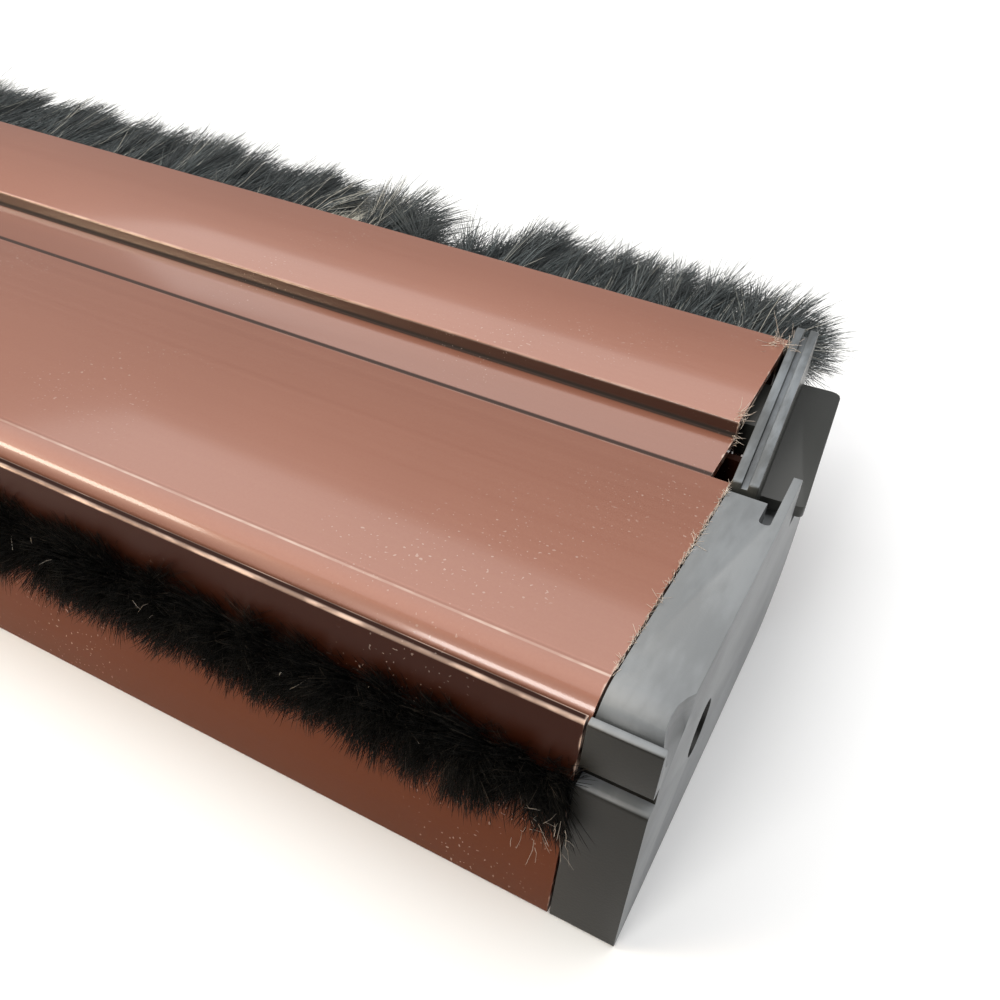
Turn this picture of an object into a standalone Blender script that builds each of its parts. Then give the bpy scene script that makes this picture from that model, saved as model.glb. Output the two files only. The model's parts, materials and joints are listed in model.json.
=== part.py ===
"""Retracting brush door sweep, lying on its back with the brush pointing along +Y.

A long aluminium housing is screwed to the door with its back face (z = 0). A snap-on cover closes it,
and a drop bar slides out of its rear side and carries a long brush to the floor. Pushing the plunger at
the left end drives a rod along +X; two cam blocks on the rod turn that into the bar's travel along +Y.
+X runs along the door, +Y towards the floor under the door and +Z away from the door's face.
All sizes are in millimetres, and MM turns them into Blender's metres.
"""

import math

import bmesh
import bpy
from mathutils import Matrix, Vector

MM = 0.001

# Overall sizes
HOUSING_LENGTH = 594.0
HOUSING_HEIGHT = 33.0
HOUSING_DEPTH = 72.0
BACK_FACE_MIDDLE = 29.0
WALL = 1.8
RIB = 1.5
GAP = 0.3
REAR_RADIUS = 14.0

# Lip, nose and cover
LIP = 1.3
NOSE_RADIUS = 5.0
PANEL_RISE = 0.55
PANEL_DROP = 1.85
COVER_REAR = 51.1
COVER_THICKNESS = 1.5
COVER_EDGE = 1.0
COVER_WALL_Y = 24.2
COVER_WALL = 1.6
BEAD = 0.4
BEAD_DROP = 0.6
HOOK_DROP = 1.4

# Pile channel in the front wall
PILE_HEIGHT = 21.3
PILE_OPENING = 5.0
PILE_BACKING_WIDTH = 6.9
PILE_BACKING_THICKNESS = 0.9
PILE_REACH = 5.8
CHANNEL_LIP = 1.0
CHANNEL_WALL = 1.4
CHANNEL_CHEEK = 1.5

# Drop bar
TRAVEL = 12.0
BAR_SET_BACK = 3.1
APRON_INNER = 27.0
APRON_THICKNESS = 1.6
BAR_FRONT = 64.7
BAR_WIDTH = 27.6
BAR_STEP = 2.67
BAR_RISE = 1.33
BAR_DEPTH = 13.0
BAR_WALL = 1.4
CHANNEL_LIP_REAR = 1.2
BRUSH_BACKING_WIDTH = 6.0
BRUSH_BACKING_THICKNESS = 3.2
BRUSH_OPENING = 4.6
BRUSH_COVER = 2.6
BRUSH_REACH = 26.0

# End caps and runners
CAP_THICKNESS = 8.4
CAP_REAR_TOP = 49.2
CAP_SHELF_DROP = 9.0
CAP_BAND_TOP = 6.6
CAP_BAND_BOTTOM = 9.3
CAP_BAND_DEPTH = 2.0
FIN_THICKNESS = 1.2
FIN_REAR = 56.6
FIN_SLOPE_LENGTH = 13.0
NOTCH_LENGTH = 5.4
NOTCH_HALF_WIDTH = 0.8
SCOOP_RADIUS = 8.0
PORT_Y = 21.0
PORT_Z = 17.0
PORT_SLOT = 0.8
PORT_WALL = 2.0
CAP_SCREW_RADIUS = 1.9
CAP_SCREW_LENGTH = 22.0
CAP_SCREW_SINK = 3.2
PIN_HEAD = 0.7
ROLL_PIN_RADIUS = 1.5
RUNNER_YAW = math.radians(4.0)
RUNNER_WIDTH = 3.6
RUNNER_SKIN = 2.2
RUNNER_FRONT = 49.6
RUNNER_REAR = 97.0
TONGUE_REACH = 9.9
TONGUE_FRONT = 57.1
TONGUE_REAR = 92.9
TONGUE_THICKNESS = 1.8
TONGUE_RISE = 3.0
SPIGOT_REACH = 9.0
PEG_REACH = 9.0
RIDGE_DEPTH = 0.9

# Drive
ROD_Y = 50.0
ROD_Z = 9.0
ROD_RADIUS = 3.5
ROD_START = 13.0
ROD_END = 262.0
RUNNING = 0.15
PIN_RADIUS = 2.5
CAM_WALL = 1.6
PIN_PLACES = (-156.0, 156.0)
CAM_LENGTH = 48.0
CAM_PLATE_Z = 14.0
CAM_PLATE_THICKNESS = 4.0
HUB_HALF_WIDTH = 5.0
HUB_BELOW_ROD = 4.4
RAIL_INSIDE = 7.2
RAIL_OUTSIDE = 8.4
RAIL_LIP = 5.8
RAIL_SEAT = 4.0
RAIL_TOP = 5.4
GUIDE_PLACES = (-250.0, 0.0, 250.0)
GUIDE_LENGTH = 14.0
GUIDE_RISE = 6.5
SPRING_RADIUS = 4.9
SPRING_WIRE = 0.6
SPRING_TURNS = 9
SPRING_LENGTH = 36.0
COLLAR_THICKNESS = 2.5
COLLAR_RADIUS = 6.0
NUT_THICKNESS = 4.0
NUT_RADIUS = 5.5
PLUNGER_RADIUS = 4.0
PLUNGER_HEAD = 4.0
PLUNGER_HEAD_RADIUS = 6.5
STEM_RADIUS = 2.5
STEM_ENGAGEMENT = 12.0
BARREL_CLEARANCE = 8.0
FIXING_PLACES = (-270.0, -90.0, 90.0, 270.0)
FIXING_RADIUS = 2.4
FIXING_Y = 14.0

# Sizes that follow from those above
HALF = HOUSING_LENGTH / 2
BAR_HALF = HALF - BAR_SET_BACK
NOSE_CENTRE_Y = LIP + GAP + NOSE_RADIUS
PANEL_TOP = HOUSING_HEIGHT + PANEL_RISE
NOSE_CENTRE_Z = PANEL_TOP - NOSE_RADIUS
APRON_TOP = PANEL_TOP - PANEL_DROP - COVER_EDGE - GAP
APRON_BOTTOM = APRON_TOP - APRON_THICKNESS
SHELF_TOP = APRON_BOTTOM - GAP
BAR_REAR = BAR_FRONT + BAR_WIDTH
BAR_TOP_FRONT = APRON_TOP + BAR_STEP
BAR_TOP_REAR = BAR_TOP_FRONT + BAR_RISE
BAR_BOTTOM = BAR_TOP_FRONT - BAR_DEPTH
REAR_WALL_TOP = BAR_BOTTOM - BAR_WALL
BRUSH_Z = BAR_TOP_REAR - BRUSH_COVER - BRUSH_OPENING / 2
REAR_RIB_Y = BAR_FRONT - RIB - RIB
PIN_REST_Y = REAR_RIB_Y - 2 * GAP - CAM_WALL - PIN_RADIUS - TRAVEL
INNER_WALL_REAR = COVER_WALL_Y + COVER_WALL
SHELF_REAR = PIN_REST_Y - PIN_RADIUS - PIN_HEAD - GAP
PORT_OUTER = CAP_SCREW_RADIUS + PORT_WALL
PORT_INNER = CAP_SCREW_RADIUS + GAP
CAP_SHELF_Z = HOUSING_HEIGHT - CAP_SHELF_DROP
TONGUE_TOP = CAP_SHELF_Z + TONGUE_RISE
SPRING_FIXED_X = GUIDE_PLACES[2] - GUIDE_LENGTH / 2 - GAP
COLLAR_X = SPRING_FIXED_X - SPRING_LENGTH - GAP


def panel_z(y):
    """Height of the cover's sloping top at y."""
    return PANEL_TOP - PANEL_DROP * (y - NOSE_CENTRE_Y) / (COVER_REAR - NOSE_CENTRE_Y)


def arc(centre, radius, start, end, steps):
    """Points on an arc, with its angles in degrees."""
    points = []
    for step in range(steps + 1):
        angle = math.radians(start + (end - start) * step / steps)
        points.append((centre[0] + radius * math.cos(angle), centre[1] + radius * math.sin(angle)))
    return points


def circle(centre, radius, sides=24):
    return arc(centre, radius, 0.0, 360.0 * (sides - 1) / sides, sides - 1)


def rounded(corners, steps=3):
    """A closed outline whose corners are (a, b) or, where they are rounded, (a, b, radius)."""
    points = []
    for index, corner in enumerate(corners):
        here = Vector(corner[:2])
        if len(corner) == 2:
            points.append(tuple(here))
            continue
        before = (Vector(corners[index - 1][:2]) - here).normalized()
        after = (Vector(corners[(index + 1) % len(corners)][:2]) - here).normalized()
        half_angle = before.angle(after) / 2
        centre = here + (before + after).normalized() * corner[2] / math.sin(half_angle)
        first = here + before * corner[2] / math.tan(half_angle) - centre
        sweep = first.angle_signed(here + after * corner[2] / math.tan(half_angle) - centre)
        for step in range(steps + 1):
            points.append(tuple(centre + Matrix.Rotation(-sweep * step / steps, 2) @ first))
    return points


def box_outline(low, high):
    return [(low[0], low[1]), (high[0], low[1]), (high[0], high[1]), (low[0], high[1])]


def clear_scene():
    for thing in list(bpy.data.objects):
        bpy.data.objects.remove(thing, do_unlink=True)


def new_collection(name):
    collection = bpy.data.collections.new(name)
    bpy.context.scene.collection.children.link(collection)
    return collection


def finish(name, colour, roughness, metallic):
    material = bpy.data.materials.new(name)
    material.use_nodes = True
    shader = material.node_tree.nodes["Principled BSDF"]
    shader.inputs["Base Color"].default_value = (*colour, 1.0)
    shader.inputs["Roughness"].default_value = roughness
    shader.inputs["Metallic"].default_value = metallic
    return material


def empty(name, spot):
    marker = bpy.data.objects.new(name, None)
    marker.location = Vector(spot) * MM
    parts.objects.link(marker)
    return marker


def as_mesh(source, name):
    """A curve or a modified object made into a plain mesh object in the same place, with its caps welded."""
    bpy.context.view_layer.update()
    mesh = bpy.data.meshes.new_from_object(source.evaluated_get(bpy.context.evaluated_depsgraph_get()))
    work = bmesh.new()
    work.from_mesh(mesh)
    bmesh.ops.remove_doubles(work, verts=work.verts, dist=0.000002)
    bmesh.ops.recalc_face_normals(work, faces=work.faces)
    work.to_mesh(mesh)
    work.free()
    where = source.matrix_world.copy()
    bpy.data.objects.remove(source, do_unlink=True)
    made = bpy.data.objects.new(name, mesh)
    made.matrix_world = where
    mesh.name = name
    return made


def flat_curve(outlines, thickness):
    curve = bpy.data.curves.new("outline", "CURVE")
    curve.dimensions = "2D"
    curve.fill_mode = "BOTH"
    curve.extrude = thickness / 2 * MM
    for outline in outlines:
        spline = curve.splines.new("POLY")
        spline.points.add(len(outline) - 1)
        for point, corner in zip(spline.points, outline):
            point.co = (corner[0] * MM, corner[1] * MM, 0.0, 1.0)
        spline.use_cyclic_u = True
    source = bpy.data.objects.new("outline", curve)
    bpy.context.scene.collection.objects.link(source)
    return source


def along_x(name, outlines, start, end):
    """Outlines in the section's (y, z), extruded from x = start to x = end."""
    source = flat_curve(outlines, abs(end - start))
    source.location = ((start + end) / 2 * MM, 0.0, 0.0)
    source.rotation_euler = (math.pi / 2, 0.0, math.pi / 2)
    return as_mesh(source, name)


def along_z(name, outlines, bottom, top):
    """Outlines in (x, y), extruded from z = bottom to z = top."""
    source = flat_curve(outlines, top - bottom)
    source.location = (0.0, 0.0, (bottom + top) / 2 * MM)
    return as_mesh(source, name)


def turned(name, profile, closed, spot, axis, steps=24):
    """A profile of (radius, height) turned about an axis through spot: X towards +X, or Z upwards."""
    mesh = bpy.data.meshes.new(name)
    edges = [(index, index + 1) for index in range(len(profile) - 1)]
    if closed:
        edges.append((len(profile) - 1, 0))
    mesh.from_pydata([(r * MM, 0.0, h * MM) for r, h in profile], edges, [])
    source = bpy.data.objects.new(name, mesh)
    bpy.context.scene.collection.objects.link(source)
    screw = source.modifiers.new("turn", "SCREW")
    screw.steps = steps
    screw.render_steps = steps
    screw.use_merge_vertices = True
    screw.merge_threshold = 0.00001
    screw.use_smooth_shade = False
    source.location = Vector(spot) * MM
    if axis == "X":
        source.rotation_euler = (0.0, math.pi / 2, 0.0)
    return as_mesh(source, name)


def cylinder_x(name, centre, radius, start, end, steps=24):
    profile = [(0, end), (radius, end), (radius, start), (0, start)]
    return turned(name, profile, False, (0, *centre), "X", steps)


def modify(target, other, operation):
    """Cuts, or joins, another object; the other object stays as a hidden helper."""
    change = target.modifiers.new(other.name, "BOOLEAN")
    change.operation = operation
    change.object = other
    other.hide_render = True
    other.display_type = "WIRE"
    cutters.objects.link(other)


def add_piece(thing, material, parent, smooth=True):
    """Puts a finished piece in the door sweep's collection, under its empty and with its material."""
    thing.data.materials.clear()
    thing.data.materials.append(material)
    helpers = [modifier.object for modifier in thing.modifiers if modifier.type == "BOOLEAN"]
    for member in [thing] + helpers:
        member.parent = parent
        member.matrix_parent_inverse = Matrix.Identity(4)
        member.location = member.location + frame.location - parent.location
    if smooth:
        thing.data.shade_smooth()
        thing.data.set_sharp_from_angle(angle=math.radians(32))
    parts.objects.link(thing)
    return thing


def nose_arc(start_angle):
    return arc((NOSE_CENTRE_Y, NOSE_CENTRE_Z), NOSE_RADIUS, start_angle, 90.0, 8)


def rear_arc(radius, start, end):
    return arc((HOUSING_DEPTH - REAR_RADIUS, REAR_RADIUS), radius, start, end, 8)


def angle_at(radius, y):
    """Angle of the lower rear arc of this radius where it passes y."""
    return -math.degrees(math.acos((y - HOUSING_DEPTH + REAR_RADIUS) / radius))


def make_housing_base():
    """Extruded tray: front wall with pile channel, cover wall with screw port, rod rails and rear wall."""
    low = PILE_HEIGHT - PILE_OPENING / 2
    high = PILE_HEIGHT + PILE_OPENING / 2
    cavity = PILE_BACKING_WIDTH / 2 + GAP
    cavity_back = CHANNEL_LIP + PILE_BACKING_THICKNESS + 2 * GAP
    channel_back = cavity_back + CHANNEL_WALL
    channel_low = PILE_HEIGHT - cavity - CHANNEL_CHEEK
    channel_top = PILE_HEIGHT + cavity + CHANNEL_CHEEK
    reach = math.degrees(math.acos((COVER_WALL_Y - PORT_Y) / PORT_OUTER))
    outer_lip = math.degrees(math.asin(PORT_SLOT / PORT_OUTER))
    inner_lip = math.degrees(math.asin(PORT_SLOT / PORT_INNER))
    port = (PORT_Y, PORT_Z)
    bead = SHELF_TOP - BEAD_DROP
    wall_top = panel_z(COVER_WALL_Y) - COVER_THICKNESS - GAP
    inner = REAR_RADIUS - WALL
    outline = rounded([
        (0, 0, 0.5), (0, low, 0.3), (CHANNEL_LIP, low), (CHANNEL_LIP, PILE_HEIGHT - cavity),
        (cavity_back, PILE_HEIGHT - cavity), (cavity_back, PILE_HEIGHT + cavity),
        (CHANNEL_LIP, PILE_HEIGHT + cavity), (CHANNEL_LIP, high), (0, high, 0.3),
        (0, HOUSING_HEIGHT, 0.35), (LIP, HOUSING_HEIGHT, 0.35), (LIP, channel_top),
        (channel_back, channel_top), (channel_back, channel_low), (WALL, channel_low), (WALL, WALL, 0.8),
        (COVER_WALL_Y, WALL, 0.5),
        *arc(port, PORT_OUTER, -reach, outer_lip - 180, 10),
        *arc(port, PORT_INNER, inner_lip - 180, 180 - inner_lip, 16),
        *arc(port, PORT_OUTER, 180 - outer_lip, reach, 10),
        (COVER_WALL_Y, bead - 0.5), (COVER_WALL_Y - BEAD, bead), (COVER_WALL_Y - BEAD, bead + 0.5),
        (COVER_WALL_Y, bead + 1.0), (COVER_WALL_Y, wall_top), (INNER_WALL_REAR, wall_top),
        (INNER_WALL_REAR, SHELF_TOP), (SHELF_REAR, SHELF_TOP, 0.4), (SHELF_REAR, SHELF_TOP - RIB, 0.4),
        (INNER_WALL_REAR, SHELF_TOP - RIB, 0.8), (INNER_WALL_REAR, WALL, 0.8),
        (ROD_Y - RAIL_OUTSIDE, WALL), (ROD_Y - RAIL_OUTSIDE, RAIL_TOP), (ROD_Y - RAIL_LIP, RAIL_TOP),
        (ROD_Y - RAIL_LIP, RAIL_SEAT), (ROD_Y - RAIL_INSIDE, RAIL_SEAT), (ROD_Y - RAIL_INSIDE, WALL),
        (ROD_Y + RAIL_INSIDE, WALL), (ROD_Y + RAIL_INSIDE, RAIL_SEAT), (ROD_Y + RAIL_LIP, RAIL_SEAT),
        (ROD_Y + RAIL_LIP, RAIL_TOP), (ROD_Y + RAIL_OUTSIDE, RAIL_TOP),
        *rear_arc(inner, angle_at(inner, ROD_Y + RAIL_OUTSIDE), angle_at(inner, REAR_RIB_Y)),
        (REAR_RIB_Y, SHELF_TOP), (REAR_RIB_Y + RIB, SHELF_TOP),
        *rear_arc(inner, angle_at(inner, REAR_RIB_Y + RIB), 0),
        (HOUSING_DEPTH - WALL, REAR_WALL_TOP), (HOUSING_DEPTH, REAR_WALL_TOP, 0.6),
        *rear_arc(REAR_RADIUS, 0, -90),
    ])
    base = along_x("housing_base", [outline], -HALF, HALF)
    for index, x in enumerate(FIXING_PLACES):
        hole = turned(f"fixing_hole_{index}", [(0, 2 * WALL), (FIXING_RADIUS, 2 * WALL),
                      (FIXING_RADIUS, -WALL), (0, -WALL)], False, (x, FIXING_Y, 0), "Z")
        modify(base, hole, "DIFFERENCE")
    return add_piece(base, anodised, frame)


def make_top_cover():
    """Snap-on extrusion: rounded nose behind the lip, sloping panel, and a leg that clips inside."""
    foot = PILE_HEIGHT + PILE_BACKING_WIDTH / 2 + GAP + CHANNEL_CHEEK + GAP
    thin = INNER_WALL_REAR + COVER_WALL
    leg = COVER_WALL_Y - BEAD - GAP
    hook = SHELF_TOP - HOOK_DROP
    inner = NOSE_RADIUS - COVER_THICKNESS
    outline = rounded([
        (LIP + GAP, foot), *nose_arc(180),
        (COVER_REAR, panel_z(COVER_REAR), 0.35), (COVER_REAR, panel_z(COVER_REAR) - COVER_EDGE, 0.2),
        (thin, panel_z(thin) - COVER_EDGE), (thin, panel_z(thin) - COVER_THICKNESS),
        (leg, panel_z(leg) - COVER_THICKNESS, 0.5), (leg, hook), (leg + 0.5, hook - 0.3),
        (leg + 0.5, hook - 0.7), (leg, hook - 1.1), (leg - HOOK_DROP, hook - 1.1),
        (leg - HOOK_DROP, panel_z(leg) - COVER_THICKNESS, 0.5),
        *arc((NOSE_CENTRE_Y, NOSE_CENTRE_Z), inner, 90, 180, 8), (NOSE_CENTRE_Y - inner, foot),
    ])
    return add_piece(along_x("top_cover", [outline], -HALF, HALF), anodised, frame)


def make_drop_bar():
    """Extrusion with a thin apron that runs under the cover, a hollow box and a brush channel at its rear."""
    slope = BAR_RISE / BAR_WIDTH
    opening_low = BRUSH_Z - BRUSH_OPENING / 2
    opening_high = BRUSH_Z + BRUSH_OPENING / 2
    cavity_low = BRUSH_Z - BRUSH_BACKING_WIDTH / 2 - GAP
    cavity_high = BRUSH_Z + BRUSH_BACKING_WIDTH / 2 + GAP
    cavity_rear = BAR_REAR - CHANNEL_LIP_REAR
    cavity_front = cavity_rear - BRUSH_BACKING_THICKNESS - 2 * GAP
    outline = rounded([
        (APRON_INNER, APRON_BOTTOM, 0.4), (APRON_INNER, APRON_TOP, 0.4), (BAR_FRONT, APRON_TOP, 0.3),
        (BAR_FRONT, BAR_TOP_FRONT, 0.45), (BAR_REAR, BAR_TOP_REAR, 0.5), (BAR_REAR, opening_high, 0.3),
        (cavity_rear, opening_high), (cavity_rear, cavity_high), (cavity_front, cavity_high),
        (cavity_front, cavity_low), (cavity_rear, cavity_low), (cavity_rear, opening_low),
        (BAR_REAR, opening_low, 0.3), (BAR_REAR, BAR_BOTTOM, 1.2), (BAR_FRONT, BAR_BOTTOM, 0.5),
        (BAR_FRONT, APRON_BOTTOM),
    ])
    box_front = BAR_FRONT + BAR_WALL
    box_rear = cavity_front - BAR_WALL
    hollow = rounded([
        (box_front, BAR_BOTTOM + BAR_WALL, 0.6),
        (box_front, BAR_TOP_FRONT + slope * BAR_WALL - BAR_WALL, 0.6),
        (box_rear, BAR_TOP_FRONT + slope * (box_rear - BAR_FRONT) - BAR_WALL, 0.6),
        (box_rear, BAR_BOTTOM + BAR_WALL, 0.6),
    ])
    bar = along_x("drop_bar", [outline, hollow], -BAR_HALF, BAR_HALF)
    for index, x in enumerate(PIN_PLACES):
        hole = turned(f"pin_hole_{index}", [(0, APRON_TOP + 1), (PIN_RADIUS + GAP, APRON_TOP + 1),
                      (PIN_RADIUS + GAP, APRON_BOTTOM - 1), (0, APRON_BOTTOM - 1)], False,
                      (x, PIN_REST_Y, 0), "Z")
        modify(bar, hole, "DIFFERENCE")
    return add_piece(bar, anodised, carriage)


def make_brush():
    """Backing strip in the bar's channel, and the bristles as one plain solid that fans out rearwards."""
    rear = BAR_REAR - CHANNEL_LIP_REAR - GAP
    front = rear - BRUSH_BACKING_THICKNESS
    half = BRUSH_BACKING_WIDTH / 2
    backing = along_x("brush_backing", [box_outline((front, BRUSH_Z - half), (rear, BRUSH_Z + half))],
                      -BAR_HALF, BAR_HALF)
    add_piece(backing, dark_plastic, carriage, smooth=False)
    root = BRUSH_OPENING / 2 - GAP
    tip = BAR_REAR + BRUSH_REACH
    outline = rounded([
        (rear + GAP, BRUSH_Z - root), (BAR_REAR + 1.0, BRUSH_Z - root), (tip - 8, BRUSH_Z - 5.5, 3),
        (tip, BRUSH_Z + 0.5, 3), (tip - 5, BRUSH_Z + 5.0, 3), (BAR_REAR + 1.0, BRUSH_Z + root),
        (rear + GAP, BRUSH_Z + root),
    ])
    add_piece(along_x("long_brush", [outline], -BAR_HALF, BAR_HALF), bristle, carriage, smooth=False)


def make_front_pile():
    """Woven backing in the front wall's channel, and its fluffy pile as one plain solid."""
    half = PILE_BACKING_WIDTH / 2
    front = CHANNEL_LIP + GAP
    backing = along_x("pile_backing", [box_outline((front, PILE_HEIGHT - half),
                      (front + PILE_BACKING_THICKNESS, PILE_HEIGHT + half))], -HALF, HALF)
    add_piece(backing, bristle, frame, smooth=False)
    root = PILE_OPENING / 2 - GAP
    outline = rounded([
        (front - GAP, PILE_HEIGHT - root), (-GAP, PILE_HEIGHT - root), (-GAP, PILE_HEIGHT - root - 2.4),
        (-PILE_REACH + 1.2, PILE_HEIGHT - root - 3.0, 2), (-PILE_REACH, PILE_HEIGHT, 2),
        (-PILE_REACH + 2.4, PILE_HEIGHT + root + 2.6, 2), (-GAP, PILE_HEIGHT + root + 2.0),
        (-GAP, PILE_HEIGHT + root), (front - GAP, PILE_HEIGHT + root),
    ])
    add_piece(along_x("front_pile", [outline], -HALF, HALF), bristle, frame, smooth=False)


def cap_outline(with_fin):
    """The housing's end outline, with the band below the lip and the low shelf or the fin at its rear."""
    band_top = HOUSING_HEIGHT - CAP_BAND_TOP
    band_bottom = HOUSING_HEIGHT - CAP_BAND_BOTTOM
    groove_y = LIP + 1.0
    groove_angle = math.degrees(math.acos((groove_y - NOSE_CENTRE_Y) / NOSE_RADIUS))
    if with_fin:
        slope_end = FIN_REAR - FIN_SLOPE_LENGTH
        rear = [(slope_end, panel_z(slope_end)), (FIN_REAR - 1.0, HOUSING_HEIGHT - 0.1, 0.5),
                (FIN_REAR, CAP_SHELF_Z)]
    else:
        rear = [(CAP_REAR_TOP, panel_z(CAP_REAR_TOP), 0.4), (CAP_REAR_TOP, CAP_SHELF_Z)]
    return rounded([
        (0, 0, 0.5), (0, band_bottom, 0.8), (CAP_BAND_DEPTH, band_bottom), (CAP_BAND_DEPTH, band_top),
        (0, band_top, 0.3), (0, HOUSING_HEIGHT, 0.5), (LIP, HOUSING_HEIGHT, 0.4),
        (LIP + 0.3, NOSE_CENTRE_Z + NOSE_RADIUS * math.sin(math.radians(groove_angle))),
        *nose_arc(groove_angle), *rear, (HOUSING_DEPTH, CAP_SHELF_Z, 1.0), *rear_arc(REAR_RADIUS, 0, -90),
    ])


def make_end_cap(name, side):
    """Moulded plug: thick body, thin outer plate with the fin, pegs into the housing and a screw hole."""
    inner = side * (HALF + GAP)
    outer = side * (HALF + CAP_THICKNESS)
    plate = outer - side * FIN_THICKNESS
    cap = along_x(name, [cap_outline(False)], inner, plate + side * 0.1)
    modify(cap, along_x(f"{name}_plate", [cap_outline(True)], plate, outer), "UNION")
    pegs = [box_outline((WALL + 3.4, WALL + 1.0), (PORT_Y - 7.0, PORT_Z - 6.0)),
            box_outline((REAR_RIB_Y + RIB + 0.6, REAR_RADIUS - 3.0),
                        (HOUSING_DEPTH - WALL - 1.0, REAR_WALL_TOP - 1.0))]
    for index, peg in enumerate(pegs):
        peg_end = side * (HALF - PEG_REACH)
        modify(cap, along_x(f"{name}_peg_{index}", [peg], peg_end, inner + side * 1.0), "UNION")
    core = box_outline((INNER_WALL_REAR + 2.0, 3.5), (ROD_Y - 7.5, CAP_SHELF_Z - 3.0))
    modify(cap, along_x(f"{name}_core", [core], side * (HALF - 1.0), inner + side * 4.6), "DIFFERENCE")
    notch_x = plate - side * NOTCH_HALF_WIDTH
    notch_end = CAP_REAR_TOP - NOTCH_LENGTH
    notch_low = notch_x - NOTCH_HALF_WIDTH
    notch_high = notch_x + NOTCH_HALF_WIDTH
    notch = rounded([(notch_low, CAP_REAR_TOP + 1.0), (notch_low, notch_end, 0.7),
                     (notch_high, notch_end, 0.7), (notch_high, CAP_REAR_TOP + 1.0)])
    modify(cap, along_z(f"{name}_notch", [notch], CAP_SHELF_Z + 2.0, HOUSING_HEIGHT + 3.0), "DIFFERENCE")
    scoop_x = outer + side * (SCOOP_RADIUS - 1.3)
    scoop = turned(f"{name}_scoop", arc((0, 0), SCOOP_RADIUS, 90, -90, 16), False,
                   (scoop_x, NOSE_CENTRE_Y - 1.4, HOUSING_HEIGHT - 0.6), "Z", 32)
    modify(cap, scoop, "DIFFERENCE")
    ends = sorted((side * (HALF - 1.0), outer + side * 1.0))
    modify(cap, cylinder_x(f"{name}_hole", (PORT_Y, PORT_Z), CAP_SCREW_RADIUS + GAP, *ends), "DIFFERENCE")
    ends = sorted((outer - side * CAP_SCREW_SINK, outer + side * 1.0))
    modify(cap, cylinder_x(f"{name}_bore", (PORT_Y, PORT_Z), CAP_SCREW_RADIUS * 2, *ends), "DIFFERENCE")
    if side < 0:
        ends = (outer - 1.0, inner + 1.0)
        modify(cap, cylinder_x(f"{name}_plunger_hole", (ROD_Y, ROD_Z), PLUNGER_RADIUS + GAP, *ends),
               "DIFFERENCE")
    return add_piece(cap, cap_plastic, frame)


def make_cap_screw(name, side):
    """Pan-head tapping screw in the cap's counterbore, with a cross recess."""
    seat = side * (HALF + CAP_THICKNESS - CAP_SCREW_SINK + GAP)
    head = CAP_SCREW_RADIUS * 1.8
    point = CAP_SCREW_RADIUS * 0.4
    profile = [(0, 2.2), (head * 0.6, 2.1), (head * 0.9, 1.5), (head, 0.6), (head, 0), (CAP_SCREW_RADIUS, 0),
               (CAP_SCREW_RADIUS, 2 - CAP_SCREW_LENGTH), (point, -CAP_SCREW_LENGTH), (0, -CAP_SCREW_LENGTH)]
    if side < 0:
        profile = [(radius, -height) for radius, height in reversed(profile)]
    screw = turned(name, profile, False, (seat, PORT_Y, PORT_Z), "X")
    for index, half in enumerate(((1.8, 0.4), (0.4, 1.8))):
        slot = box_outline((PORT_Y - half[0], PORT_Z - half[1]), (PORT_Y + half[0], PORT_Z + half[1]))
        modify(screw, along_x(f"{name}_slot_{index}", [slot], seat + side * 1.0, seat + side * 3.0),
               "DIFFERENCE")
    return add_piece(screw, steel, frame)


def make_end_runner(name, side):
    """Moulded runner plugged into the bar's end: double ridge on top, outward tongue, and a spigot."""
    pivot = Vector((side * (BAR_HALF + GAP + 0.1), BAR_REAR, 0.0))
    bottom = CAP_SHELF_Z + 0.4
    front = RUNNER_FRONT - BAR_REAR
    rear = RUNNER_REAR - BAR_REAR
    front_top = HOUSING_HEIGHT
    rear_top = BAR_TOP_REAR + 0.6
    web = rounded([(front, bottom), (rear, bottom, 1.5), (rear, rear_top, 0.9), (front, front_top, 0.5)])
    runner = along_x(name, [web], 0.0, side * RUNNER_WIDTH)
    over_rib = box_outline((front - 1, bottom - 1), (BAR_FRONT - BAR_REAR, SHELF_TOP + 2 * GAP))
    modify(runner, along_x(f"{name}_step", [over_rib], -side, side * RUNNER_SKIN), "DIFFERENCE")
    groove = [(front - 1, front_top - RIDGE_DEPTH), (rear - 3.0, rear_top - RIDGE_DEPTH),
              (rear + 1.0, rear_top - 2.2 * RIDGE_DEPTH), (rear + 1.0, rear_top + 2),
              (front - 1, front_top + 2)]
    middle = side * RUNNER_WIDTH / 2
    tongue = rounded([(side * (RUNNER_WIDTH - 0.4), TONGUE_FRONT - BAR_REAR),
                      (side * TONGUE_REACH, TONGUE_FRONT - BAR_REAR, 0.8),
                      (side * TONGUE_REACH, TONGUE_REAR - BAR_REAR, 1.6),
                      (side * (RUNNER_WIDTH - 0.4), TONGUE_REAR - BAR_REAR)])
    modify(runner, along_z(f"{name}_tongue", [tongue], TONGUE_TOP - TONGUE_THICKNESS, TONGUE_TOP), "UNION")
    spigot = box_outline((-BAR_WIDTH + 4.0, bottom + 1.0), (-10.0, BAR_TOP_FRONT - BAR_WALL - 0.8))
    modify(runner, along_x(f"{name}_spigot", [spigot], -side * SPIGOT_REACH, side * 0.5), "UNION")
    modify(runner, along_x(f"{name}_groove", [groove], middle - 0.45, middle + 0.45), "DIFFERENCE")
    helpers = [modifier.object for modifier in runner.modifiers]
    turn = Matrix.Translation(pivot * MM) @ Matrix.Rotation(side * RUNNER_YAW, 4, "Z")
    for member in [runner] + helpers:
        member.matrix_world = turn @ member.matrix_world
    return add_piece(runner, runner_plastic, carriage)


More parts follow.
